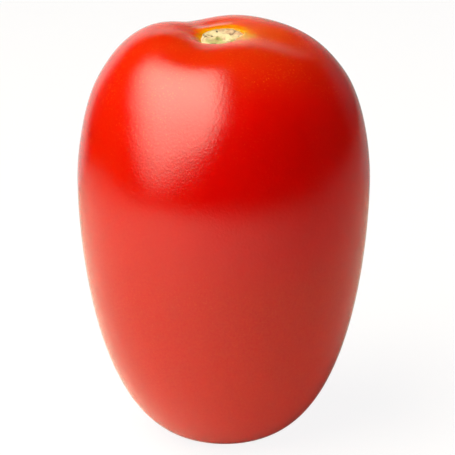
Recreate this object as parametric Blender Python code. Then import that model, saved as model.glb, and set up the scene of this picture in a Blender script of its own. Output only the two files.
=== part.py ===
"""A ripe plum tomato, as picked, standing on its blossom end.

The fruit grew as one piece, so it is one closed solid. Every meridian is made of three Bezier arcs:
from the stem scar up to the crest of the dimple, over the shoulder to the widest level, and down
the side to the flat spot that it stands on. Four furrows are then pressed in round the stem end.

Run it with blender --background --python part.py, or from the text editor. It works in metres,
+Z up, with the origin under the middle of the fruit, on the surface it stands on. The front is -Y.
"""

import math

import bmesh
import bpy
from mathutils import Vector

MM = 0.001

# The body, in metres.
WIDTH = 54.0 * MM
CREST_HEIGHT = 77.15 * MM  # the ridge round the dimple, before its lobes and furrows
WIDEST_HEIGHT = 50.0 * MM
SIDE_CURVE = 73.1 * MM  # radius of curvature up and down the side, at the widest level
SHOULDER_REACH = 3.03 * MM  # how far the crest runs out level before it turns down
HEEL_REACH = 19.15 * MM  # how far the underside runs out level before it turns up
FLAT_SPOT_RADIUS = 5.0 * MM

# The stem end.
CREST_RADIUS = 8.27 * MM
DIMPLE_DEPTH = 0.96 * MM
SCAR_RADIUS = 4.1 * MM
SCAR_TILT = 0.179  # rise towards the back for each unit of run: the scar faces a little forward
WALL_STEEPNESS = (0.67, 0.34)  # how the dimple's wall leaves the scar, as shares of its height
STEM_END_SHIFT = Vector((-0.07, 1.18)) * MM  # the core leans a little back at the top

# Lobes of the crest: (azimuth, tightness, extra height, extra radius, extra reach). Azimuth 0 is +X
# and 90 is +Y, the back, so the tallest and widest lobe is on the left.
LOBES = (
    (170.7, 3.4, 2.13 * MM, 2.84 * MM, 3.57 * MM),
    (110.8, 1.7, 1.09 * MM, 0.15 * MM, 0.75 * MM),
    (318.4, 2.51, -0.2 * MM, -2.67 * MM, 2.84 * MM),
    (273.5, 1.73, 0.17 * MM, 0.74 * MM, 1.49 * MM),
)

# Furrows: (start across, start back, heading, depth, half width, run to full depth, length). Starts
# are from the scar's centre. A furrow is pressed in towards the core, and widens as it runs out.
FURROWS = (
    (-3.98 * MM, -1.05 * MM, 259.6, 0.99 * MM, 3.23 * MM, 3.81 * MM, 20.41 * MM),
    (1.08 * MM, -0.72 * MM, 125.2, 2.54 * MM, 3.01 * MM, 5.72 * MM, 25.74 * MM),
    (-4.52 * MM, -2.15 * MM, 154.9, 2.19 * MM, 3.64 * MM, 11.2 * MM, 18.78 * MM),
    (5.27 * MM, 0.96 * MM, 333.6, 1.74 * MM, 4.35 * MM, 16.03 * MM, 14.58 * MM),
)
FURROW_SPREAD = 0.26  # half width gained for each unit of length
START_DEPTH = 0.147  # how far into its run each furrow starts
CLEAR_OF_SCAR = 4.3 * MM  # the furrows fade in over this distance from the scar
CLEAR_OF_SIDE = 10.7 * MM  # and fade out over this height above the widest level
SIDE_HEADINGS = (257.0, 126.0, 2.0)  # the sides between the lobes
SIDE_TIGHTNESS = 6.0
SIDE_FLATTENING = 0.28 * MM  # how much the fruit is flattened on those sides
CORE_HEIGHT = 56.0 * MM  # the point on the axis that the furrows are pressed towards

# The corky stem scar, from its edge to its middle: (share of its radius, height above its edge).
SCAR_RELIEF = ((0.86, 0.22 * MM), (0.62, 0.02 * MM), (0.36, -0.12 * MM), (0.16, -0.38 * MM))
SCAR_PIT = -0.5 * MM

# Facets.
SEGMENTS = 72
WALL_RINGS = 7
SHOULDER_RINGS = 18
SIDE_RINGS = 18
SHARPEST_FOLD = 50.0  # degrees between faces that are still shaded smooth

SKIN_RED = (0.56, 0.012, 0.006, 1.0)
CORK_CREAM = (0.72, 0.62, 0.36, 1.0)


def direction(azimuth):
    """The level unit vector that points along an azimuth given in degrees."""
    return Vector((math.cos(math.radians(azimuth)), math.sin(math.radians(azimuth))))


def ease(share):
    """0 to 1 with a soft start and end."""
    share = min(max(share, 0.0), 1.0)
    return share * share * (3.0 - 2.0 * share)


def hump(azimuth, centre, tightness):
    """1 at the centre azimuth, falling off smoothly on both sides and closing at the far side."""
    return math.exp(tightness * (math.cos(math.radians(azimuth - centre)) - 1.0))


def arc(start, start_handle, end_handle, end, count):
    """count points of a cubic Bezier arc, its end included and its start left out."""
    points = []
    for step in range(1, count + 1):
        t = step / count
        s = 1.0 - t
        early = s**3 * start + 3 * s * s * t * start_handle
        points.append(early + 3 * s * t * t * end_handle + t**3 * end)
    return points


def lobed(azimuth, which):
    """One of the lobes' extras at an azimuth: 0 height, 1 radius or 2 reach."""
    return sum(extras[which] * hump(azimuth, centre, tightness) for centre, tightness, *extras in LOBES)


def meridian(azimuth):
    """(distance from the core, height) from the scar's edge to the flat spot's edge.

    The handles give the arcs that meet at the crest, and at the widest level, one curvature there.
    """
    lift = lobed(azimuth, 0)
    spread = lobed(azimuth, 1)
    reach = SHOULDER_REACH + lobed(azimuth, 2)
    flattening = sum(hump(azimuth, heading, SIDE_TIGHTNESS) for heading in SIDE_HEADINGS)
    edge = Vector((SCAR_RADIUS, scar_height(SCAR_RADIUS, azimuth)))
    crest = Vector((CREST_RADIUS + spread, CREST_HEIGHT + lift))
    widest = Vector((WIDTH / 2 - SIDE_FLATTENING * flattening, WIDEST_HEIGHT))
    foot = Vector((FLAT_SPOT_RADIUS, 0.0))
    up = math.sqrt(2 / 3 * SIDE_CURVE * (widest.x - crest.x - reach))
    down = math.sqrt(2 / 3 * SIDE_CURVE * (widest.x - foot.x - HEEL_REACH))
    wall = crest.y - edge.y
    edge_handle = edge + Vector(WALL_STEEPNESS) * wall
    turn = math.sqrt((crest.y - edge_handle.y) / (crest.y - widest.y - up))
    inner_reach = Vector((reach * turn, 0.0))
    outer_reach = Vector((reach, 0.0))
    return [
        edge,
        *arc(edge, edge_handle, crest - inner_reach, crest, WALL_RINGS),
        *arc(crest, crest + outer_reach, widest + Vector((0.0, up)), widest, SHOULDER_RINGS),
        *arc(widest, widest - Vector((0.0, down)), foot + Vector((HEEL_REACH, 0.0)), foot, SIDE_RINGS),
    ]


def scar_height(out, azimuth):
    """The height of the scar's tilted plane."""
    return CREST_HEIGHT - DIMPLE_DEPTH + SCAR_TILT * out * direction(azimuth).y


def core_at(height):
    """Where the core passes a height: upright to the widest level, then easing over."""
    share = (height - WIDEST_HEIGHT) / (CREST_HEIGHT - WIDEST_HEIGHT)
    return STEM_END_SHIFT * ease(share)


def furrow_depth(place):
    """How far the furrows press the skin in at a place given from the scar's centre."""
    pressed = 0.0
    for across, back, heading, depth, half_width, run, length in FURROWS:
        away = place - Vector((across, back))
        along = away.dot(direction(heading))
        aside = away.dot(direction(heading + 90.0))
        width = half_width + FURROW_SPREAD * max(along, 0.0)
        rise = ease(along / run + START_DEPTH)
        fade = math.exp(-((max(along, 0.0) / length) ** 2))
        pressed += depth * rise * fade * math.exp(-((aside / width) ** 2))
    return pressed


def skin_point(azimuth, out, height):
    """A point of the skin, with the furrows pressed in."""
    level = core_at(height) + out * direction(azimuth)
    point = Vector((level.x, level.y, height))
    if height <= WIDEST_HEIGHT or out <= SCAR_RADIUS:
        return point
    inwards = (Vector((0.0, 0.0, CORE_HEIGHT)) - point).normalized()
    fade = ease((out - SCAR_RADIUS) / CLEAR_OF_SCAR) * ease((height - WIDEST_HEIGHT) / CLEAR_OF_SIDE)
    return point + inwards * furrow_depth(level - STEM_END_SHIFT) * fade


def fruit_rings():
    """Rings of points from the middle of the scar down to the flat spot's edge."""
    azimuths = [360.0 * i / SEGMENTS for i in range(SEGMENTS)]
    rings = [
        [skin_point(azimuth, share * SCAR_RADIUS, scar_height(share * SCAR_RADIUS, azimuth) + rise)
         for azimuth in azimuths]
        for share, rise in reversed(SCAR_RELIEF)
    ]
    columns = [
        [skin_point(azimuth, out, height) for out, height in meridian(azimuth)]
        for azimuth in azimuths
    ]
    return rings + [list(ring) for ring in zip(*columns)]


def centred(rings):
    """The rings moved level, so that the middle of the fruit's box stands over the origin."""
    points = [point for ring in rings for point in ring]
    middle_x = (min(p.x for p in points) + max(p.x for p in points)) / 2
    middle_y = (min(p.y for p in points) + max(p.y for p in points)) / 2
    offset = Vector((middle_x, middle_y, 0.0))
    return [[point - offset for point in ring] for ring in rings]


def material(name, colour, roughness):
    """A plain Principled material."""
    made = bpy.data.materials.new(name)
    made.use_nodes = True
    shader = made.node_tree.nodes["Principled BSDF"]
    shader.inputs["Base Color"].default_value = colour
    shader.inputs["Roughness"].default_value = roughness
    shader.inputs["Metallic"].default_value = 0.0
    return made


def fruit_mesh():
    """The closed skin: a fan in the scar's pit, quads between the rings, and one flat face below."""
    rings = centred(fruit_rings())
    pit = sum(rings[0], Vector()) / SEGMENTS
    pit.z = CREST_HEIGHT - DIMPLE_DEPTH + SCAR_PIT
    shape = bmesh.new()
    middle = shape.verts.new(pit)
    placed = [[shape.verts.new(point) for point in ring] for ring in rings]
    scar_rings = len(SCAR_RELIEF)
    for i in range(SEGMENTS):
        j = (i + 1) % SEGMENTS
        shape.faces.new((middle, placed[0][i], placed[0][j])).material_index = 1
        for k in range(len(placed) - 1):
            face = shape.faces.new((placed[k][i], placed[k + 1][i], placed[k + 1][j], placed[k][j]))
            face.material_index = 1 if k < scar_rings else 0
    shape.faces.new(list(reversed(placed[-1])))
    bmesh.ops.recalc_face_normals(shape, faces=shape.faces)
    mesh = bpy.data.meshes.new("tomato")
    shape.to_mesh(mesh)
    shape.free()
    mesh.shade_smooth()
    mesh.set_sharp_from_angle(angle=math.radians(SHARPEST_FOLD))
    return mesh


def build():
    for obj in list(bpy.data.objects):
        bpy.data.objects.remove(obj)
    tomato = bpy.data.objects.new("tomato", fruit_mesh())
    tomato.data.materials.append(material("tomato_skin", SKIN_RED, 0.3))
    tomato.data.materials.append(material("stem_scar_cork", CORK_CREAM, 0.8))
    bpy.context.scene.collection.objects.link(tomato)


build()
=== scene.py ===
"""A ripe plum tomato with its stem off, standing on its blossom end in a small light studio.

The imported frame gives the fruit's place and size. This script grows the visible skin and the corky
stem scar round it, gives both their finish, and sets up the studio. It is laid out as an add-on
and is run as a script. Lengths are in metres, +Z is up, and the front of the fruit faces -Y.
"""

import math

import bpy
import numpy as np
from bpy.props import FloatProperty, FloatVectorProperty, IntProperty, PointerProperty
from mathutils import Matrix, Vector, noise


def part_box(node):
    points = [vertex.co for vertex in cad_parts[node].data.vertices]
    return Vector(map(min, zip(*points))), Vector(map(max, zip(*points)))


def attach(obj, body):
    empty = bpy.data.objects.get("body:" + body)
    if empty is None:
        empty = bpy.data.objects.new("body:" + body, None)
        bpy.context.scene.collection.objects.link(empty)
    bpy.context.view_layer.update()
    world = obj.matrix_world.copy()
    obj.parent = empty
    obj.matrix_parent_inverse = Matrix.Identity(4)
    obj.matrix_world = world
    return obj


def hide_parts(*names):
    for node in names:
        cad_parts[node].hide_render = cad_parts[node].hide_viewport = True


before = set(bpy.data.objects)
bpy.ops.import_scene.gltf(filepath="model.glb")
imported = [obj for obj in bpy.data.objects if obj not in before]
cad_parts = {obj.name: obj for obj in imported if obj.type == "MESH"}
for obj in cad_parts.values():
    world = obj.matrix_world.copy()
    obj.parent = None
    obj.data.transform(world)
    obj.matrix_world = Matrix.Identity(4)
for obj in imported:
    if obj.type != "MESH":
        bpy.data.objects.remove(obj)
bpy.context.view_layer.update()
FRUIT_LOW, FRUIT_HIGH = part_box("tomato")

bl_info = {
    "name": "Plum Tomato",
    "version": (1, 0, 0),
    "blender": (4, 5, 0),
    "location": "View3D > Sidebar > Tomato",
    "description": "Grows a ripe plum tomato round its packed frame and sets up a light studio",
    "category": "Object",
}

MM = 0.001
SEED = 11

# The body's meridians, as in the frame: Bezier arcs that meet at the crest and at the widest level.
WIDTH = 54.0 * MM
CREST_HEIGHT = 77.15 * MM
WIDEST_HEIGHT = 50.0 * MM
SIDE_CURVE = 73.1 * MM
SHOULDER_REACH = 3.03 * MM
HEEL_REACH = 19.15 * MM
FLAT_SPOT_RADIUS = 5.0 * MM
CREST_RADIUS = 8.27 * MM
DIMPLE_DEPTH = 0.96 * MM
SCAR_TILT = 0.179
WALL_STEEPNESS = (0.67, 0.34)
STEM_END_SHIFT = np.array((-0.07, 1.18)) * MM
CORE_HEIGHT = 56.0 * MM

# Lobes of the crest: (azimuth, tightness, extra height, extra radius, extra reach).
LOBES = (
    (170.7, 3.4, 2.13 * MM, 2.84 * MM, 3.57 * MM),
    (110.8, 1.7, 1.09 * MM, 0.15 * MM, 0.75 * MM),
    (318.4, 2.51, -0.2 * MM, -2.67 * MM, 2.84 * MM),
    (273.5, 1.73, 0.17 * MM, 0.74 * MM, 1.49 * MM),
)

# Furrows: (start across, start back, heading, depth, half width, run to full depth, length).
FURROWS = (
    (-3.98 * MM, -1.05 * MM, 259.6, 0.99 * MM, 3.23 * MM, 3.81 * MM, 20.41 * MM),
    (1.08 * MM, -0.72 * MM, 125.2, 2.54 * MM, 3.01 * MM, 5.72 * MM, 25.74 * MM),
    (-4.52 * MM, -2.15 * MM, 154.9, 2.19 * MM, 3.64 * MM, 11.2 * MM, 18.78 * MM),
    (5.27 * MM, 0.96 * MM, 333.6, 1.74 * MM, 4.35 * MM, 16.03 * MM, 14.58 * MM),
)
FURROW_SPREAD = 0.26
START_DEPTH = 0.147
CLEAR_OF_SCAR = 4.3 * MM
CLEAR_OF_SIDE = 10.7 * MM
SIDE_HEADINGS = (257.0, 126.0, 2.0)
SIDE_TIGHTNESS = 6.0
SIDE_FLATTENING = 0.28 * MM

# Spots on the cork: (azimuth, share of the way out, radius as a share of the cork's).
BROWN_PITS = (
    (168.0, 0.82, 0.055), (150.0, 0.6, 0.05), (115.0, 0.74, 0.05), (60.0, 0.55, 0.04), (20.0, 0.7, 0.04),
)
LIVING_PATCHES = ((215.0, 0.55, 0.3), (262.0, 0.6, 0.24), (180.0, 0.25, 0.2), (330.0, 0.5, 0.16))
WEATHERED_PATCHES = ((62.0, 0.72, 0.27), (30.0, 0.85, 0.15), (100.0, 0.85, 0.18))

# How finely the visible skin is drawn.
SEGMENTS = 320
SCAR_RINGS = 40
WALL_RINGS = 34
SHOULDER_RINGS = 84
SIDE_RINGS = 76
BASE_RINGS = 12
RELAXED_ABOVE = 0.86  # creases are eased out above this share of the height
RELAXED_RINGS = 7
RELAXING_PASSES = 90

# Sizes of what the skin and the cork show.
PATCH_SIZE = 9.0 * MM  # where one stretch of skin has ripened more than the next
CELL_SIZE = 0.45 * MM  # the fine dimples of the cuticle
FLECK_GAP = 0.42 * MM  # from one pale fleck to the next
CRUMB_SIZE = 0.9 * MM  # crumbs of the crust on the cork
CUTICLE_RELIEF = 0.045 * MM
BLOSSOM_DIMPLE = 0.35 * MM  # how far the skin is drawn up round the blossom scar
SCAR_WAVES = ((2, 0.5, 40.0), (3, 0.45, 115.0), (5, 0.4, 20.0), (9, 0.28, 75.0), (16, 0.2, 5.0))

# The ripest side faces front, a little to the right, and stops short of the crest and the lower body.
RIPEST_AZIMUTH = 292.0
SHOULDER_FROM = 0.6  # shares of the fruit's height
RIPEST_FROM = 0.42
RIPEST_TO = 0.99

# The studio.
STAGE_REACH = 3.0  # half the floor's width, and the backdrop's radius
BOARD_REACH = 0.8
BOARD_DROP = 0.5 * MM  # the boards lie just below the floor, one under the other
BOUNCE_DROP = 2.0 * MM
SWEEP_HEIGHT = 0.36
SWEEP_FLAT = 0.35  # the share of the sweep that lies on the table
AIM = (0.0007, 0.0, 0.0403)  # where the camera points

# Painted light on the table's board at each radius, towards some azimuths. The front is at 270.
# A painted pool of the softbox's light, fading outwards and dimmest on the right, where the fruit's painted
# shadow falls.
BOARD_RADII = (0.0, 0.1, 0.126, 0.155, 0.19, 0.235, 0.295, 0.375, 0.51, 0.8)
BOARD_PAINTED_LIGHT = {
    40.0: (0.6, 0.5, 0.45, 0.38, 0.38, 0.34, 0.3, 0.2, 0.12, 0.0),
    130.0: (0.8, 0.8, 0.7, 0.6, 0.5, 0.4, 0.3, 0.2, 0.1, 0.0),
    230.0: (0.9, 0.95, 1.0, 0.9, 0.72, 0.55, 0.38, 0.22, 0.08, 0.0),
    290.0: (0.62, 0.66, 0.76, 0.7, 0.56, 0.36, 0.19, 0.1, 0.04, 0.0),
    340.0: (0.5, 0.48, 0.44, 0.4, 0.36, 0.32, 0.25, 0.15, 0.06, 0.0),
}

# The softbox hangs above the left shoulder. Its places are shares of its distance from the fruit, p
# along it and q across it, and its glow fades towards p's ends and from one edge to the other.
KEY_DISTANCE = 0.32
KEY_LEVEL = 0.055
KEY_FACING = (-0.6, -0.45, 0.66)
KEY_ALONG = (-0.0224, 0.8354, 0.5492)
KEY_ACROSS = (0.7993, -0.3150, 0.5118)
KEY_GLOW = (
    (-0.95, 0.0), (-0.75, 0.15), (-0.5, 0.6), (0.2, 1.0), (0.45, 1.0), (0.8, 0.78), (1.2, 0.45), (1.45, 0.22),
    (1.7, 0.0),
)
KEY_LEFT_EDGE = ((-0.6, -0.95), (-0.2, -0.85), (0.2, -0.68), (0.8, -0.66), (1.2, -0.35), (1.5, 0.0))
KEY_RIGHT_EDGE = (
    (-0.8, 0.4), (-0.6, 0.58), (-0.4, 0.68), (-0.2, 0.75), (0.1, 0.79), (1.0, 0.79), (1.5, 0.74),
)


def linear(hex_colour):
    """The linear RGB value of an sRGB colour such as "#C81A05"."""
    channels = [int(hex_colour[i : i + 2], 16) / 255 for i in (1, 3, 5)]
    return tuple(c / 12.92 if c <= 0.04045 else ((c + 0.055) / 1.055) ** 2.4 for c in channels)


def colour_property(name, hex_colour, description):
    """A colour that a user can change, from its sRGB value."""
    return FloatVectorProperty(
        name=name, description=description, default=linear(hex_colour), subtype="COLOR", min=0.0, max=1.0
    )


def length_property(name, default, description):
    """A length in metres that a user can change."""
    return FloatProperty(
        name=name, description=description, default=default, min=0.0, precision=5,
        subtype="DISTANCE", unit="LENGTH",
    )


class StemScarSizes(bpy.types.PropertyGroup):
    """Sizes of the cork at the stem end."""

    radius: length_property("Radius", 4.1 * MM, "How far the cork reaches from its middle")
    raggedness: FloatProperty(name="Raggedness", description="How uneven its outline is", default=0.05)
    lip: length_property("Lip", 0.22 * MM, "How far the crust stands up near its edge")
    pit: length_property("Pit", 0.5 * MM, "How deep its middle is")
    fissures: IntProperty(name="Fissures", description="How many cracks run outwards", default=5)
    fissure_depth: length_property("Fissure Depth", 0.2 * MM, "How deep the cracks are")


class SkinFinish(bpy.types.PropertyGroup):
    """Colours and gloss of the skin."""

    ripe: colour_property("Ripe Red", "#A00B01", "The ripe skin")
    deep: colour_property("Deep Red", "#A60000", "The ripest side")
    flush: colour_property("Orange Flush", "#B8420A", "Skin that ripened last, round the stem end")
    flecks: colour_property("Flecks", "#D06820", "Small pale flecks, most of them near the stem end")
    gold: colour_property("Gold Ring", "#B07C00", "The ring of skin that meets the cork")
    roughness: FloatProperty(name="Roughness", description="How soft its reflections are", default=0.14)
    depth: length_property("Light Depth", 7.0 * MM, "How far red light spreads inside the flesh")


class CorkFinish(bpy.types.PropertyGroup):
    """Colours of the stem scar."""

    cream: colour_property("Cream", "#B0A684", "Dry cork")
    green: colour_property("Green", "#8A9058", "Tissue that is still green")
    tan: colour_property("Tan", "#86604C", "Weathered crust")
    brown: colour_property("Brown", "#2A160A", "The bottoms of cracks and pits")


class Studio(bpy.types.PropertyGroup):
    """The floor, the lights and the camera."""

    key_power: FloatProperty(name="Key Radiance", description="Brightness of the softbox", default=10.3)
    elevation: FloatProperty(
        name="Camera Elevation", description="How far the camera looks down", default=math.radians(20.0),
        subtype="ANGLE", unit="ROTATION",
    )
    distance: length_property("Camera Distance", 0.5, "From the camera to the fruit")
    lens: FloatProperty(name="Lens", description="Focal length in millimetres", default=213.7)


def direction(azimuth):
    """Level unit vectors along azimuths in degrees, across and back."""
    turned = np.radians(azimuth)
    return np.cos(turned), np.sin(turned)


def ease(share):
    """0 to 1 with a soft start and end."""
    share = np.clip(share, 0.0, 1.0)
    return share * share * (3.0 - 2.0 * share)


def hump(azimuth, centre, tightness):
    """1 at the centre azimuth, falling off smoothly on both sides and closing at the far side."""
    return np.exp(tightness * (np.cos(np.radians(azimuth - centre)) - 1.0))


def between(places, stops):
    """The value at each place, on straight lines through stops of (place, value)."""
    return np.interp(places, *zip(*stops))


def arcs(start, start_handle, end_handle, end, count):
    """count rings of cubic Bezier arcs, one arc for each meridian, without their first ring."""
    t = (np.arange(1, count + 1) / count)[:, None, None]
    s = 1.0 - t
    return s**3 * start + 3 * s * s * t * start_handle + 3 * s * t * t * end_handle + t**3 * end


def pairs(out, height, count):
    """An array of (out, height) with one row for each meridian."""
    return np.stack([np.broadcast_to(out, count), np.broadcast_to(height, count)], axis=1).astype(float)


def scar_plane(out, azimuth):
    """The height of the scar's tilted plane."""
    return CREST_HEIGHT - DIMPLE_DEPTH + SCAR_TILT * out * direction(azimuth)[1]


def scar_edge(azimuth, sizes):
    """How far the cork reaches at each azimuth: an uneven outline that closes."""
    wave = 0.0
    for turns, share, phase in SCAR_WAVES:
        wave = wave + share * np.cos(np.radians(turns * azimuth + phase))
    return sizes.radius * (1.0 + sizes.raggedness * wave)


def lobed(azimuth, which):
    """One of the lobes' extras at each azimuth: 0 height, 1 radius or 2 reach."""
    return sum(extras[which] * hump(azimuth, centre, tightness) for centre, tightness, *extras in LOBES)


def meridians(azimuth, edge_out):
    """(out, height) of the skin, ring by ring from the cork's edge to the flat spot's edge."""
    count = len(azimuth)
    lift = lobed(azimuth, 0)
    spread = lobed(azimuth, 1)
    reach = SHOULDER_REACH + lobed(azimuth, 2)
    flattening = sum(hump(azimuth, heading, SIDE_TIGHTNESS) for heading in SIDE_HEADINGS)
    edge = pairs(edge_out, scar_plane(edge_out, azimuth), count)
    crest = pairs(CREST_RADIUS + spread, CREST_HEIGHT + lift, count)
    widest = pairs(WIDTH / 2 - SIDE_FLATTENING * flattening, WIDEST_HEIGHT, count)
    foot = pairs(FLAT_SPOT_RADIUS, 0.0, count)
    up = np.sqrt(2 / 3 * SIDE_CURVE * (widest[:, 0] - crest[:, 0] - reach))
    down = np.sqrt(2 / 3 * SIDE_CURVE * (widest[:, 0] - foot[:, 0] - HEEL_REACH))
    wall = crest[:, 1] - edge[:, 1]
    edge_handle = edge + np.outer(wall, WALL_STEEPNESS)
    turn = np.sqrt((crest[:, 1] - edge_handle[:, 1]) / (crest[:, 1] - widest[:, 1] - up))
    inner = pairs(reach * turn, 0.0, count)
    outer = pairs(reach, 0.0, count)
    above = pairs(0.0, up, count)
    below = pairs(0.0, down, count)
    heel = pairs(HEEL_REACH, 0.0, count)
    return np.concatenate([
        edge[None],
        arcs(edge, edge_handle, crest - inner, crest, WALL_RINGS),
        arcs(crest, crest + outer, widest + above, widest, SHOULDER_RINGS),
        arcs(widest, widest - below, foot + heel, foot, SIDE_RINGS),
    ])


def furrow_depth(across, back):
    """How far the furrows press the skin in, at places given from the scar's centre."""
    pressed = np.zeros_like(across)
    for start_across, start_back, heading, depth, half_width, run, length in FURROWS:
        ahead_across, ahead_back = direction(heading)
        along = (across - start_across) * ahead_across + (back - start_back) * ahead_back
        aside = (back - start_back) * ahead_across - (across - start_across) * ahead_back
        width = half_width + FURROW_SPREAD * np.maximum(along, 0.0)
        fade = np.exp(-((np.maximum(along, 0.0) / length) ** 2))
        pressed += depth * ease(along / run + START_DEPTH) * fade * np.exp(-((aside / width) ** 2))
    return pressed


def placed(azimuth, out, height, scar_radius):
    """Points from (out, height) on each meridian, leaning with the core and with the furrows pressed in."""
    across, back = direction(azimuth)
    lean = ease((height - WIDEST_HEIGHT) / (CREST_HEIGHT - WIDEST_HEIGHT))
    points = np.stack([
        STEM_END_SHIFT[0] * lean + out * across,
        STEM_END_SHIFT[1] * lean + out * back,
        height + 0.0 * out,
    ], axis=-1)
    inwards = np.array((0.0, 0.0, CORE_HEIGHT)) - points
    inwards /= np.linalg.norm(inwards, axis=-1, keepdims=True)
    fade = ease((out - scar_radius) / CLEAR_OF_SCAR) * ease((height - WIDEST_HEIGHT) / CLEAR_OF_SIDE)
    depth = furrow_depth(points[..., 0] - STEM_END_SHIFT[0], points[..., 1] - STEM_END_SHIFT[1])
    return points + inwards * (depth * fade)[..., None]


def fissures(share, azimuth, sizes):
    """0 to 1: how deep into a crack each place on the cork is."""
    rng = np.random.default_rng(SEED)
    deepest = np.zeros_like(share)
    for i in range(sizes.fissures):
        heading = 360.0 * (i + rng.uniform(-0.35, 0.35)) / sizes.fissures
        first, last = rng.uniform(0.3, 0.62), rng.uniform(0.82, 1.05)
        bend, strength = rng.uniform(-14.0, 14.0), rng.uniform(0.4, 1.0)
        half_width = rng.uniform(0.03, 0.055)
        off = np.radians((azimuth - heading - bend * share**2 + 180.0) % 360.0 - 180.0) * share
        ends = ease((share - first) / 0.12) * ease((last - share) / 0.12)
        deepest = np.maximum(deepest, strength * ends * np.exp(-((off / half_width) ** 2)))
    return deepest


def parting(share, azimuth):
    """0 to 1: the crack where the cork has come away from the skin, round the back of the scar."""
    wander = 0.9 + 0.03 * np.cos(np.radians(7 * azimuth)) + 0.025 * np.cos(np.radians(11 * azimuth + 50.0))
    stretch = np.maximum(hump(azimuth, 95.0, 3.0), 0.8 * hump(azimuth, 160.0, 8.0))
    return stretch * np.exp(-(((share - wander) / 0.04) ** 2))


def spotted(share, azimuth, spots):
    """0 to 1: how far inside one of the round spots (azimuth, share out, radius share) each place is."""
    across, back = direction(azimuth)
    inside = np.zeros_like(share)
    for heading, out, radius in spots:
        spot_across, spot_back = direction(heading)
        away = np.hypot(share * across - out * spot_across, share * back - out * spot_back)
        inside = np.maximum(inside, ease(1.5 - away / radius))
    return inside


def fibres(points, size):
    """A rough, fibrous height from -1 to 1 at each point, with its coarsest lumps about size across."""
    flat = points.reshape(-1, 3) / size
    values = [noise.fractal(Vector(p), 0.6, 2.1, 4) for p in flat]
    return np.clip(np.array(values).reshape(points.shape[:-1]), -1.0, 1.0)


def scar_points(azimuth, edge_out, sizes):
    """The cork's points, ring by ring from its middle out, and how cracked, green and weathered each is."""
    share = (np.arange(1, SCAR_RINGS) / SCAR_RINGS)[:, None] * np.ones(len(azimuth))
    out = share * edge_out
    plane = scar_plane(out, azimuth)
    crust = sizes.lip * np.exp(-(((share - 0.84) / 0.12) ** 2))
    stump = 0.6 * sizes.lip * np.exp(-(((share - 0.36) / 0.08) ** 2))
    pit = sizes.pit * np.exp(-((share / 0.22) ** 2))
    turn = azimuth + 0.0 * share
    pits = spotted(share, turn, BROWN_PITS)
    cracked = np.maximum(np.maximum(fissures(share, turn, sizes), parting(share, turn)), pits)
    level = placed(azimuth, out, plane, sizes.radius)
    rough = 0.1 * MM * fibres(level, 1.3 * MM) + 0.05 * MM * fibres(level + 1.0, 0.35 * MM)
    at_edge = ease((1.0 - share) / 0.08)
    level[..., 2] += (crust + stump + rough) * at_edge - pit - cracked * sizes.fissure_depth * at_edge
    uneven = 1.0 + 0.5 * fibres(level, 1.6 * MM)
    living = np.clip(spotted(share, turn, LIVING_PATCHES) * uneven, 0.0, 1.0)
    weathered = np.clip(spotted(share, turn, WEATHERED_PATCHES) * uneven, 0.0, 1.0)
    return level, {"cracked": cracked, "living": living, "weathered": weathered}


def base_points(azimuth):
    """The flat spot's points, ring by ring from its edge in, drawn up a little round the blossom scar."""
    share = 1.0 - (np.arange(1, BASE_RINGS) / BASE_RINGS)[:, None] * np.ones(len(azimuth))
    across, back = direction(azimuth)
    puckered = 1.0 + 0.3 * np.cos(np.radians(5 * azimuth))
    dimple = BLOSSOM_DIMPLE * np.exp(-((share / 0.26) ** 2)) * puckered
    return np.stack([share * FLAT_SPOT_RADIUS * across, share * FLAT_SPOT_RADIUS * back, dimple], axis=-1)


def relaxed(points, edge_ring):
    """The points with small creases between the furrows eased out, near the top and clear of the cork."""
    high = ease((points[..., 2] - RELAXED_ABOVE * FRUIT_HIGH.z) / (0.06 * FRUIT_HIGH.z))
    rings = np.arange(len(points)) - edge_ring
    share = (0.5 * high * ease(rings / RELAXED_RINGS)[:, None])[..., None]
    for _ in range(RELAXING_PASSES):
        round_about = np.roll(points, 1, axis=1) + np.roll(points, -1, axis=1)
        above_below = np.concatenate([points[:1], points[:-1]]) + np.concatenate([points[1:], points[-1:]])
        points = points + share * ((round_about + above_below) / 4.0 - points)
    return points


def fitted(points):
    """The points stretched, by very little, so that their box is the frame's."""
    low, high = points.min(axis=(0, 1)), points.max(axis=(0, 1))
    wanted_low, wanted_high = np.array(FRUIT_LOW), np.array(FRUIT_HIGH)
    return wanted_low + (points - low) * (wanted_high - wanted_low) / (high - low)


def skin_tints(azimuth, points, edge_out, scar_rings):
    """How golden and how flushed each point of the skin is, from its distance to the cork."""
    across = points[..., 0] - points[:scar_rings, :, 0].mean()
    back = points[..., 1] - points[:scar_rings, :, 1].mean()
    distance = np.maximum(np.hypot(across, back) - edge_out, 0.0)
    top = ease((points[..., 2] - WIDEST_HEIGHT) / CLEAR_OF_SIDE)
    reach = 0.75 * MM + 0.7 * MM * hump(azimuth, 345.0, 4.0) + 0.5 * MM * hump(azimuth, 95.0, 2.0)
    gold = np.exp(-((distance / reach) ** 2)) * top
    spread = 2.0 * MM + 6.5 * MM * hump(azimuth, 25.0, 1.3)
    near = 0.6 * np.exp(-((distance / spread) ** 1.6))
    far = 0.3 * np.exp(-((distance / (11.0 * MM)) ** 2))
    return gold, (near + far) * top


def ripeness(azimuth, height):
    """How far up the shoulder each point of the skin is, and how much of the ripest red it has."""
    top = FRUIT_HIGH.z
    shoulder = ease((height - SHOULDER_FROM * top) / (0.3 * top))
    level = ease((height - RIPEST_FROM * top) / (0.2 * top))
    level = level * ease((RIPEST_TO * top - height) / (0.12 * top))
    return shoulder, np.minimum(1.25 * level * hump(azimuth, RIPEST_AZIMUTH, 2.0), 1.0)


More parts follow.
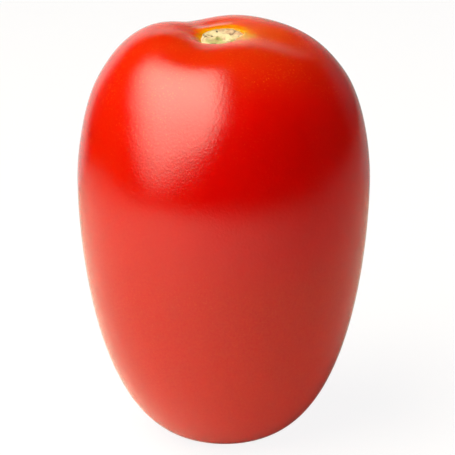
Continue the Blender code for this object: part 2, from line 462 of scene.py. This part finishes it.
def closed_mesh(name, points, attributes, cork_rings):
    """A mesh from rings of points, closed at both ends, with one value of each attribute for each point."""
    rings, segments = points.shape[:2]
    ends = np.array([points[0].mean(axis=0), points[-1].mean(axis=0)])
    ends[0, 2] -= 0.02 * MM
    vertices = np.concatenate([points.reshape(-1, 3), ends])
    ring, turn = np.meshgrid(np.arange(rings - 1), np.arange(segments), indexing="ij")
    after = (turn + 1) % segments
    upper, lower = ring * segments, (ring + 1) * segments
    quads = np.stack([upper + turn, lower + turn, lower + after, upper + after], axis=-1).reshape(-1, 4)
    turn = np.arange(segments)
    after = (turn + 1) % segments
    last = (rings - 1) * segments
    top = np.stack([np.full(segments, rings * segments), turn, after], axis=1)
    bottom = np.stack([np.full(segments, rings * segments + 1), last + after, last + turn], axis=1)
    mesh = bpy.data.meshes.new(name)
    mesh.from_pydata(vertices.tolist(), [], top.tolist() + quads.tolist() + bottom.tolist())
    for title, values in attributes.items():
        layer = mesh.attributes.new(title, "FLOAT", "POINT")
        closed = np.concatenate([values.ravel(), [values[0].mean(), values[-1].mean()]])
        layer.data.foreach_set("value", closed.astype(np.float32))
    cork = np.zeros(len(mesh.polygons), dtype=np.int32)
    cork[: segments + cork_rings * segments] = 1
    mesh.polygons.foreach_set("material_index", cork)
    mesh.shade_smooth()
    mesh.validate()
    return mesh


def node(tree, kind, links=None, out=None, **settings):
    """Adds a shader node and gives it, or one of its outputs if out is its name or index.

    links maps an input's name or index to a value or to another node's output.
    """
    made = tree.nodes.new(kind)
    for name, value in settings.items():
        setattr(made, name, value)
    for key, value in (links or {}).items():
        if isinstance(value, bpy.types.NodeSocket):
            tree.links.new(value, made.inputs[key])
        else:
            made.inputs[key].default_value = value
    return made if out is None else made.outputs[out]


def new_material(name):
    """A material with only a Principled shader, and that shader."""
    made = bpy.data.materials.new(name)
    made.use_nodes = True
    return made, made.node_tree, made.node_tree.nodes["Principled BSDF"]


def opaque(colour):
    """The colour with full alpha."""
    return (*colour, 1.0)


def tomato_skin(finish):
    """Ripe tomato skin: a thin clear cuticle over wet red flesh, so it is glossy and light goes in.

    It is orange where it ripened last, gold where it meets the cork, and flecked near the stem end.
    """
    made, tree, shader = new_material("ripe_tomato_skin")
    place = node(tree, "ShaderNodeTexCoord", out="Object")
    shoulder = node(tree, "ShaderNodeAttribute", out="Fac", attribute_name="shoulder")
    ripest = node(tree, "ShaderNodeAttribute", out="Fac", attribute_name="deep")
    flush = node(tree, "ShaderNodeAttribute", out="Fac", attribute_name="flush")
    gold = node(tree, "ShaderNodeAttribute", out="Fac", attribute_name="gold")
    patches = node(
        tree, "ShaderNodeTexNoise", {"Vector": place, "Scale": 1.0 / PATCH_SIZE, "Detail": 2.0}, "Fac",
    )
    patchy = node(tree, "ShaderNodeMapRange", {0: patches, 1: 0.35, 2: 0.65}, 0)
    cells = node(
        tree, "ShaderNodeTexNoise", {"Vector": place, "Scale": 1.0 / CELL_SIZE, "Detail": 2.0}, "Fac",
    )
    grain = node(tree, "ShaderNodeMapRange", {0: cells, 1: 0.3, 2: 0.7}, 0)

    even = node(tree, "ShaderNodeMapRange", {0: patches, 1: 0.3, 2: 0.7, 3: 0.9, 4: 1.0}, 0)
    deep = node(tree, "ShaderNodeMath", {0: ripest, 1: even}, 0, operation="MULTIPLY")
    dusting = node(tree, "ShaderNodeMath", {0: grain, 1: 0.12}, 0, operation="MULTIPLY")
    flesh = node(
        tree, "ShaderNodeMix", {0: dusting, 6: opaque(finish.ripe), 7: opaque(finish.flush)}, 2,
        data_type="RGBA",
    )
    flesh = node(tree, "ShaderNodeMix", {0: deep, 6: flesh, 7: opaque(finish.deep)}, 2, data_type="RGBA")
    flesh = node(tree, "ShaderNodeMix", {0: flush, 6: flesh, 7: opaque(finish.flush)}, 2, data_type="RGBA")

    spots = node(tree, "ShaderNodeTexVoronoi", {"Vector": place, "Scale": 1.0 / FLECK_GAP})
    off = spots.outputs["Distance"]
    flecks = node(tree, "ShaderNodeMapRange", {0: off, 1: 0.12, 2: 0.42, 3: 1.0, 4: 0.0}, 0)
    kept = node(tree, "ShaderNodeMapRange", {0: spots.outputs["Color"], 1: 0.35, 2: 0.8}, 0)
    speckled = node(tree, "ShaderNodeMath", {0: flecks, 1: kept}, 0, operation="MULTIPLY")
    here = node(tree, "ShaderNodeMapRange", {0: shoulder, 3: 0.08, 4: 0.6}, 0)
    unripe = node(tree, "ShaderNodeMapRange", {0: ripest, 3: 1.0, 4: 0.25}, 0)
    stretch = node(tree, "ShaderNodeMath", {0: patchy, 1: unripe}, 0, operation="MULTIPLY")
    dense = node(tree, "ShaderNodeMath", {0: here, 1: stretch}, 0, operation="MULTIPLY")
    seen = node(tree, "ShaderNodeMath", {0: speckled, 1: dense}, 0, operation="MULTIPLY")
    flesh = node(tree, "ShaderNodeMix", {0: seen, 6: flesh, 7: opaque(finish.flecks)}, 2, data_type="RGBA")
    ringed = node(tree, "ShaderNodeMix", {0: gold, 6: flesh, 7: opaque(finish.gold)}, 2, data_type="RGBA")
    tree.links.new(ringed, shader.inputs["Base Color"])

    wax = node(tree, "ShaderNodeMix", {"Factor": 0.5, "A": patchy, "B": grain}, "Result")
    low, high = finish.roughness - 0.03, finish.roughness + 0.04
    gloss = node(tree, "ShaderNodeMapRange", {0: wax, 3: low, 4: high}, 0)
    tree.links.new(gloss, shader.inputs["Roughness"])
    bump = node(
        tree, "ShaderNodeBump", {"Height": cells, "Distance": CUTICLE_RELIEF, "Strength": 0.8}, "Normal",
    )
    tree.links.new(bump, shader.inputs["Normal"])
    shader.inputs["IOR"].default_value = 1.45
    shader.inputs["Subsurface Weight"].default_value = 0.8
    shader.inputs["Subsurface Radius"].default_value = (1.0, 0.08, 0.04)
    shader.inputs["Subsurface Scale"].default_value = finish.depth
    return made


def scar_cork(finish):
    """Stem-scar cork: dry, cracked tissue that healed over where the stem broke off, so it is matt."""
    made, tree, shader = new_material("stem_scar_cork")
    place = node(tree, "ShaderNodeTexCoord", out="Object")
    cracked = node(tree, "ShaderNodeAttribute", out="Fac", attribute_name="cracked")
    crumbs = node(
        tree, "ShaderNodeTexNoise", {"Vector": place, "Scale": 1.0 / CRUMB_SIZE, "Detail": 5.0}, "Fac",
    )
    crust = node(tree, "ShaderNodeMapRange", {0: crumbs, 1: 0.52, 2: 0.68}, 0)
    living = node(tree, "ShaderNodeAttribute", out="Fac", attribute_name="living")
    weathered = node(tree, "ShaderNodeAttribute", out="Fac", attribute_name="weathered")
    pale = node(
        tree, "ShaderNodeMix", {0: living, 6: opaque(finish.cream), 7: opaque(finish.green)}, 2,
        data_type="RGBA",
    )
    tanned = node(tree, "ShaderNodeMath", {0: weathered, 1: crust}, 0, operation="MAXIMUM")
    tanned = node(tree, "ShaderNodeMath", {0: tanned, 1: 0.75}, 0, operation="MULTIPLY")
    dry = node(tree, "ShaderNodeMix", {0: tanned, 6: pale, 7: opaque(finish.tan)}, 2, data_type="RGBA")
    whole = node(tree, "ShaderNodeMix", {0: cracked, 6: dry, 7: opaque(finish.brown)}, 2, data_type="RGBA")
    tree.links.new(whole, shader.inputs["Base Color"])
    shader.inputs["Roughness"].default_value = 0.8
    shader.inputs["Subsurface Weight"].default_value = 0.2
    shader.inputs["Subsurface Radius"].default_value = (1.0, 0.8, 0.4)
    shader.inputs["Subsurface Scale"].default_value = 0.5 * MM
    return made


class TOMATO_OT_grow_fruit(bpy.types.Operator):
    """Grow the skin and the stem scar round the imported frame"""

    bl_idname = "tomato.grow_fruit"
    bl_label = "Grow Fruit"

    def execute(self, context):
        scene = context.scene
        sizes = scene.stem_scar_sizes
        azimuth = np.arange(SEGMENTS) * 360.0 / SEGMENTS
        edge_out = scar_edge(azimuth, sizes)
        cork, cork_marks = scar_points(azimuth, edge_out, sizes)
        skin = meridians(azimuth, edge_out)
        skin = placed(azimuth, skin[..., 0], skin[..., 1], sizes.radius)
        points = relaxed(np.concatenate([cork, skin, base_points(azimuth)]), len(cork))
        points = fitted(points)
        gold, flush = skin_tints(azimuth, points, edge_out, len(cork))
        shoulder, deep = ripeness(azimuth, points[..., 2])
        attributes = {"gold": gold, "flush": flush, "deep": deep, "shoulder": shoulder}
        for title, marks in cork_marks.items():
            attributes[title] = np.zeros(points.shape[:2])
            attributes[title][: len(cork)] = marks
        mesh = closed_mesh("tomato_fruit", points, attributes, len(cork))
        fruit = bpy.data.objects.new("tomato_fruit", mesh)
        scene.collection.objects.link(fruit)
        mesh.materials.append(tomato_skin(scene.skin_finish))
        mesh.materials.append(scar_cork(scene.cork_finish))
        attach(fruit, "root")
        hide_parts("tomato")
        return {"FINISHED"}


def sheet(name, points, glow, material):
    """A stage sheet through a grid of points, with a value of glow at each one."""
    rows, columns = points.shape[:2]
    row, column = np.meshgrid(np.arange(rows - 1), np.arange(columns - 1), indexing="ij")
    first = row * columns + column
    faces = np.stack([first, first + 1, first + columns + 1, first + columns], axis=-1).reshape(-1, 4)
    mesh = bpy.data.meshes.new(name)
    mesh.from_pydata(points.reshape(-1, 3).tolist(), [], faces.tolist())
    mesh.attributes.new("glow", "FLOAT", "POINT").data.foreach_set("value", glow.astype(np.float32).ravel())
    mesh.shade_smooth()
    mesh.materials.append(material)
    made = bpy.data.objects.new(name, mesh)
    bpy.context.scene.collection.objects.link(made)
    return made


def seen_only(made, by_camera):
    """Makes a sheet either for the camera alone, or for the light and the reflections alone."""
    made.visible_camera = by_camera
    made.visible_diffuse = not by_camera
    made.visible_glossy = not by_camera
    made.visible_transmission = not by_camera
    made.visible_shadow = not by_camera


def lamp_cloth(name, colour, radiance):
    """Cloth that glows as much as the sheet's glow says."""
    made = bpy.data.materials.new(name)
    made.use_nodes = True
    tree = made.node_tree
    tree.nodes.clear()
    glow = node(tree, "ShaderNodeAttribute", out="Fac", attribute_name="glow")
    strength = node(tree, "ShaderNodeMath", {0: glow, 1: radiance}, 0, operation="MULTIPLY")
    light = node(tree, "ShaderNodeEmission", {"Color": opaque(colour), "Strength": strength}, 0)
    node(tree, "ShaderNodeOutputMaterial", {"Surface": light})
    return made


def painted_light_board(name, colour):
    """Matt board whose colour is painted light: it is whitest where the sheet's glow says."""
    made, tree, shader = new_material(name)
    share = node(tree, "ShaderNodeAttribute", out="Fac", attribute_name="glow")
    black = opaque((0.0, 0.0, 0.0))
    shade = node(tree, "ShaderNodeMix", {0: share, 6: black, 7: opaque(colour)}, 2, data_type="RGBA")
    tree.links.new(shade, shader.inputs["Base Color"])
    shader.inputs["Roughness"].default_value = 1.0
    shader.inputs["Specular IOR Level"].default_value = 0.0
    return made


def plain_paper(name, colour, glow_colour):
    """Even, matt paper that also glows."""
    made, _, shader = new_material(name)
    shader.inputs["Base Color"].default_value = opaque(colour)
    shader.inputs["Roughness"].default_value = 1.0
    shader.inputs["Specular IOR Level"].default_value = 0.0
    shader.inputs["Emission Color"].default_value = opaque(glow_colour)
    shader.inputs["Emission Strength"].default_value = 1.0
    return made


def lay_floor():
    """The pale floor and the backdrop round it, which only the camera sees."""
    paper = plain_paper("white_paper", (0.1, 0.1, 0.1), (0.88, 0.88, 0.885))
    ends = (-STAGE_REACH, STAGE_REACH)
    level = np.array([[[x, y, 0.0] for x in ends] for y in ends])
    seen_only(sheet("floor", level, np.ones((2, 2)), paper), True)
    rise, turn = np.meshgrid(
        np.linspace(0, math.pi / 2, 12), np.linspace(0, 2 * math.pi, 49), indexing="ij",
    )
    level = STAGE_REACH * np.cos(rise)
    dome = np.stack([level * np.cos(turn), level * np.sin(turn), STAGE_REACH * np.sin(rise)], axis=-1)
    pale = plain_paper("pale_backdrop", (0.0, 0.0, 0.0), (0.96, 0.96, 0.97))
    seen_only(sheet("backdrop", dome, np.ones(rise.shape), pale), True)


def lay_boards():
    """Two round boards under the fruit, coloured with painted light: one that the skin mirrors, and one that
    throws light up at it.
    """
    out, turn = np.meshgrid(np.linspace(0.0, BOARD_REACH, 81), np.linspace(0.0, 360.0, 73), indexing="ij")
    across, back = direction(turn)
    disc = np.stack([out * across, out * back, 0.0 * out - BOARD_DROP], axis=-1)
    # The mirrored board's colour is a painted pool of the softbox's light, dimmest where the fruit's painted
    # shadow falls.
    rows = [np.interp(out[:, 0], BOARD_RADII, painted_light) for painted_light in BOARD_PAINTED_LIGHT.values()]
    headings = list(BOARD_PAINTED_LIGHT)
    fade = np.array([np.interp(turn[0], headings, column, period=360.0) for column in zip(*rows)])
    mirrored = sheet("table_board", disc, fade, painted_light_board("painted_light_board", (0.85, 0.78, 0.72)))
    seen_only(mirrored, False)
    mirrored.visible_diffuse = False
    mirrored.visible_shadow = False
    # The bounce board's colour fades outwards too, as a painted pool of light.
    half = 0.18 + 0.22 * hump(turn, 320.0, 1.5)
    fade = 1.0 / (1.0 + (out / half) ** 3)
    below = disc - np.array((0.0, 0.0, BOUNCE_DROP))
    bounce = sheet("bounce_board", below, fade, painted_light_board("bounce_board", (0.97, 0.86, 0.76)))
    seen_only(bounce, False)
    bounce.visible_glossy = False
    bounce.visible_shadow = False


def hang_softbox(radiance):
    """The key light, whose shape and fading are what the skin's main highlight shows."""
    p, q = np.meshgrid(np.linspace(-0.95, 1.7, 61), np.linspace(-0.95, 0.9, 45), indexing="ij")
    glow = between(p, KEY_GLOW)
    glow *= ease((q - between(p, KEY_LEFT_EDGE)) / 0.74) * ease((between(p, KEY_RIGHT_EDGE) - q) / 0.36)
    facing = np.array(KEY_FACING) / np.linalg.norm(KEY_FACING)
    cloth = facing + np.array(KEY_ALONG) * p[..., None] + np.array(KEY_ACROSS) * q[..., None]
    cloth = cloth * KEY_DISTANCE + np.array((0.0, 0.0, KEY_LEVEL))
    key = lamp_cloth("key_softbox_cloth", (1.0, 0.89, 0.715), radiance)
    seen_only(sheet("key_softbox", cloth, glow, key), False)


def raise_back_sweep():
    """A faintly glowing cloth that runs back along the table behind the fruit and then curves up."""
    side, run = np.meshgrid(np.linspace(-0.5, 0.25, 31), np.linspace(0.0, 1.0, 33), indexing="ij")
    back = 0.13 + 0.42 * ease(run * 1.6)
    climb = np.maximum(run - SWEEP_FLAT, 0.0) ** 1.5 / (1.0 - SWEEP_FLAT) ** 1.5
    up = SWEEP_HEIGHT * climb - 0.2 * MM
    glow = ease((SWEEP_HEIGHT - up) / 0.17) * ease((side + 0.75 * back + 0.12) / 0.14)
    glow *= (0.45 + 0.55 * ease((0.08 - side) / 0.1)) * ease((0.25 - side) / 0.06)
    screen = lamp_cloth("back_sweep_cloth", (1.0, 0.97, 0.9), 0.85)
    seen_only(sheet("back_sweep", np.stack([side, back, up], axis=-1), glow, screen), False)


def stand_fill_card():
    """A soft light on the right that warms the shadow side and is never mirrored."""
    side, up = np.meshgrid(np.linspace(-0.25, 0.25, 5), np.linspace(0.0, 0.35, 5), indexing="ij")
    fill = np.stack([0.42 + 0.0 * side, 0.15 + side, up], axis=-1)
    card = sheet("fill_card", fill, np.ones(side.shape), lamp_cloth("fill_cloth", (1.0, 0.95, 0.9), 2.8))
    seen_only(card, False)
    card.visible_glossy = False


def dim_room(scene):
    """The room round the stage: nearly black, with a dim low band towards the back."""
    world = bpy.data.worlds.new("studio_room")
    world.use_nodes = True
    tree = world.node_tree
    tree.nodes.clear()
    ray = node(tree, "ShaderNodeTexCoord", out="Generated")
    parts = node(tree, "ShaderNodeSeparateXYZ", {0: ray}).outputs
    low = node(tree, "ShaderNodeMapRange", {0: parts["Z"], 1: 0.34, 2: 0.22}, 0)
    behind = node(tree, "ShaderNodeMapRange", {0: parts["Y"], 1: 0.5, 2: 0.9, 4: 0.16}, 0)
    wall = node(tree, "ShaderNodeMath", {0: low, 1: behind}, 0, operation="MULTIPLY")
    room = node(tree, "ShaderNodeMath", {0: wall, 1: 0.003}, 0, operation="MAXIMUM")
    sky = node(tree, "ShaderNodeBackground", {"Color": opaque(linear("#FFFFFF")), "Strength": room}, 0)
    node(tree, "ShaderNodeOutputWorld", {"Surface": sky})
    scene.world = world


def place_camera(scene, studio):
    """The scene's camera, in front of the fruit and looking down at it."""
    camera = bpy.data.objects.new("camera", bpy.data.cameras.new("camera"))
    scene.collection.objects.link(camera)
    camera.data.lens = studio.lens
    back = Vector((0.0, -math.cos(studio.elevation), math.sin(studio.elevation)))
    camera.location = Vector(AIM) + back * studio.distance
    camera.rotation_euler = back.to_track_quat("Z", "Y").to_euler()
    scene.camera = camera


class TOMATO_OT_set_studio(bpy.types.Operator):
    """Set up the floor, the backdrop, the lights and the camera"""

    bl_idname = "tomato.set_studio"
    bl_label = "Set Up Studio"

    def execute(self, context):
        scene = context.scene
        studio = scene.tomato_studio
        lay_floor()
        lay_boards()
        hang_softbox(studio.key_power)
        raise_back_sweep()
        stand_fill_card()
        dim_room(scene)
        scene.view_settings.view_transform = "Standard"
        place_camera(scene, studio)
        return {"FINISHED"}


class TOMATO_PT_sidebar(bpy.types.Panel):
    """Sizes, finishes and steps of the tomato"""

    bl_idname = "TOMATO_PT_sidebar"
    bl_label = "Plum Tomato"
    bl_space_type = "VIEW_3D"
    bl_region_type = "UI"
    bl_category = "Tomato"

    def draw(self, context):
        layout = self.layout
        for title, name in (
            ("Stem Scar", "stem_scar_sizes"),
            ("Skin", "skin_finish"),
            ("Cork", "cork_finish"),
            ("Studio", "tomato_studio"),
        ):
            box = layout.box()
            box.label(text=title)
            group = getattr(context.scene, name)
            for field in group.__annotations__:
                box.prop(group, field)
        layout.operator(TOMATO_OT_grow_fruit.bl_idname)
        layout.operator(TOMATO_OT_set_studio.bl_idname)


GROUPS = {
    "stem_scar_sizes": StemScarSizes,
    "skin_finish": SkinFinish,
    "cork_finish": CorkFinish,
    "tomato_studio": Studio,
}
CLASSES = (*GROUPS.values(), TOMATO_OT_grow_fruit, TOMATO_OT_set_studio, TOMATO_PT_sidebar)


def register():
    for cls in CLASSES:
        bpy.utils.register_class(cls)
    for name, group in GROUPS.items():
        setattr(bpy.types.Scene, name, PointerProperty(type=group))


def unregister():
    for name in GROUPS:
        delattr(bpy.types.Scene, name)
    for cls in reversed(CLASSES):
        bpy.utils.unregister_class(cls)


def main():
    """Makes everything in order."""
    register()
    bpy.ops.tomato.grow_fruit()
    bpy.ops.tomato.set_studio()


if __name__ == "__main__":
    main()
